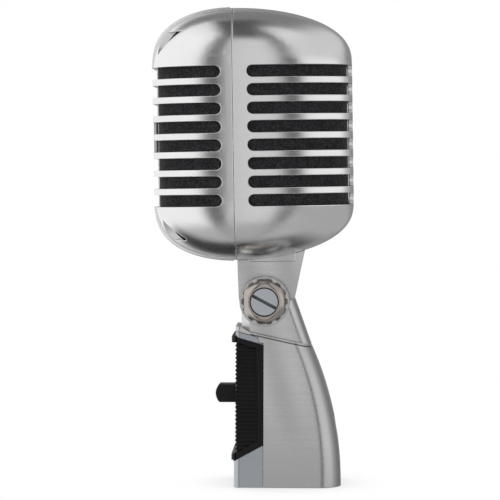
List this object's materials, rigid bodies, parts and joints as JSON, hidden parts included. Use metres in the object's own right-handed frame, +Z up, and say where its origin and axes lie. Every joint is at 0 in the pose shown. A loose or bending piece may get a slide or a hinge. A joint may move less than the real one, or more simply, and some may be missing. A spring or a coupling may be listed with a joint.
{
  "type": "desktop microphone",
  "caption": "Vintage-style dynamic vocal microphone with a slotted satin metal head on a tilting swivel over a cast base with a slide switch and a stand thread.",
  "frame": {"origin": "centre of the stand thread's mouth, on the base's bottom face, straight under the swivel axis", "axes": "+Z up, -Y towards the front (switch and badge side), +X across the swivel axis"},
  "size_m": [0.056, 0.0791, 0.188],
  "materials": {
    "shell_metal": "satin nickel-plated zinc die casting, finely brushed",
    "badge_metal": "satin blank plate with a raised rim",
    "screw_steel": "plain steel screws",
    "foam": "charcoal open-cell foam",
    "capsule_metal": "turned capsule body",
    "film": "thin polyester film",
    "copper": "enamelled copper winding",
    "soft_iron": "plated soft iron",
    "magnet_iron": "ground magnet",
    "black_plastic": "moulded black plastic",
    "board": "brown laminate",
    "rubber": "soft shock ring",
    "bracket_metal": "pressed steel",
    "wire": "insulated wire",
    "fibre": "vulcanised fibre disc",
    "washer_metal": "flat swivel washer",
    "lock_washer_metal": "toothed lock washer",
    "nickel": "warm bright nickel",
    "stud_metal": "zinc-plated slotted stud",
    "cover_metal": "bluish grey satin casting",
    "plate_black": "black ribbed moulding",
    "knob_black": "black slide button",
    "brass_contacts": "machined brass",
    "pin_metal": "plated contact pins"
  },
  "bodies": {
    "base": {"boss_washers": "washer_metal", "lock_washers": "lock_washer_metal", "pivot_nuts": "nickel", "pivot_stud": "stud_metal", "base_rear_shell": "shell_metal", "base_front_cover": "cover_metal", "cover_screws": "screw_steel", "switch_plate": "plate_black", "switch_body": "board", "switch_terminals": "brass_contacts", "thread_bush": "brass_contacts", "xlr_housing": "black_plastic", "xlr_pins": "pin_metal", "xlr_trim_ring": "nickel", "base_leads": "wire"},
    "head": {"front_grille_shell": "shell_metal", "front_badge": "badge_metal", "rear_grille_shell": "shell_metal", "grille_screw": "screw_steel", "front_foam_liner": "foam", "rear_foam_liner": "foam", "capsule_housing": "capsule_metal", "capsule_front_cap": "capsule_metal", "pole_plate": "soft_iron", "magnet": "magnet_iron", "yoke_cup": "soft_iron", "yoke_spacer": "black_plastic", "terminal_board": "board", "shock_ring_front": "rubber", "shock_ring_rear": "rubber", "capsule_bracket": "bracket_metal", "bracket_screws": "screw_steel", "clamp_plate": "bracket_metal", "neck_lug": "shell_metal", "neck_screw": "screw_steel", "capsule_leads": "wire", "friction_discs": "fibre"},
    "moving_coil": {"diaphragm": "film", "voice_coil": "copper"},
    "switch_button": {"switch_knob": "knob_black", "switch_slider": "black_plastic"}
  },
  "joints": [
    {"name": "head_tilt", "type": "hinge", "parent": "base", "child": "head", "pos_m": [0, 0, 0.0725], "axis": [1, 0, 0], "range_deg": [-37, 20]},
    {"name": "coil_travel", "type": "slide", "parent": "head", "child": "moving_coil", "axis": [0, -0.9999, -0.0148], "range_m": [-0.0003, 0.0003], "stiffness_N_per_m": 400},
    {"name": "switch_travel", "type": "slide", "parent": "base", "child": "switch_button", "axis": [0, 0, -1], "range_m": [0, 0.004]}
  ]
}
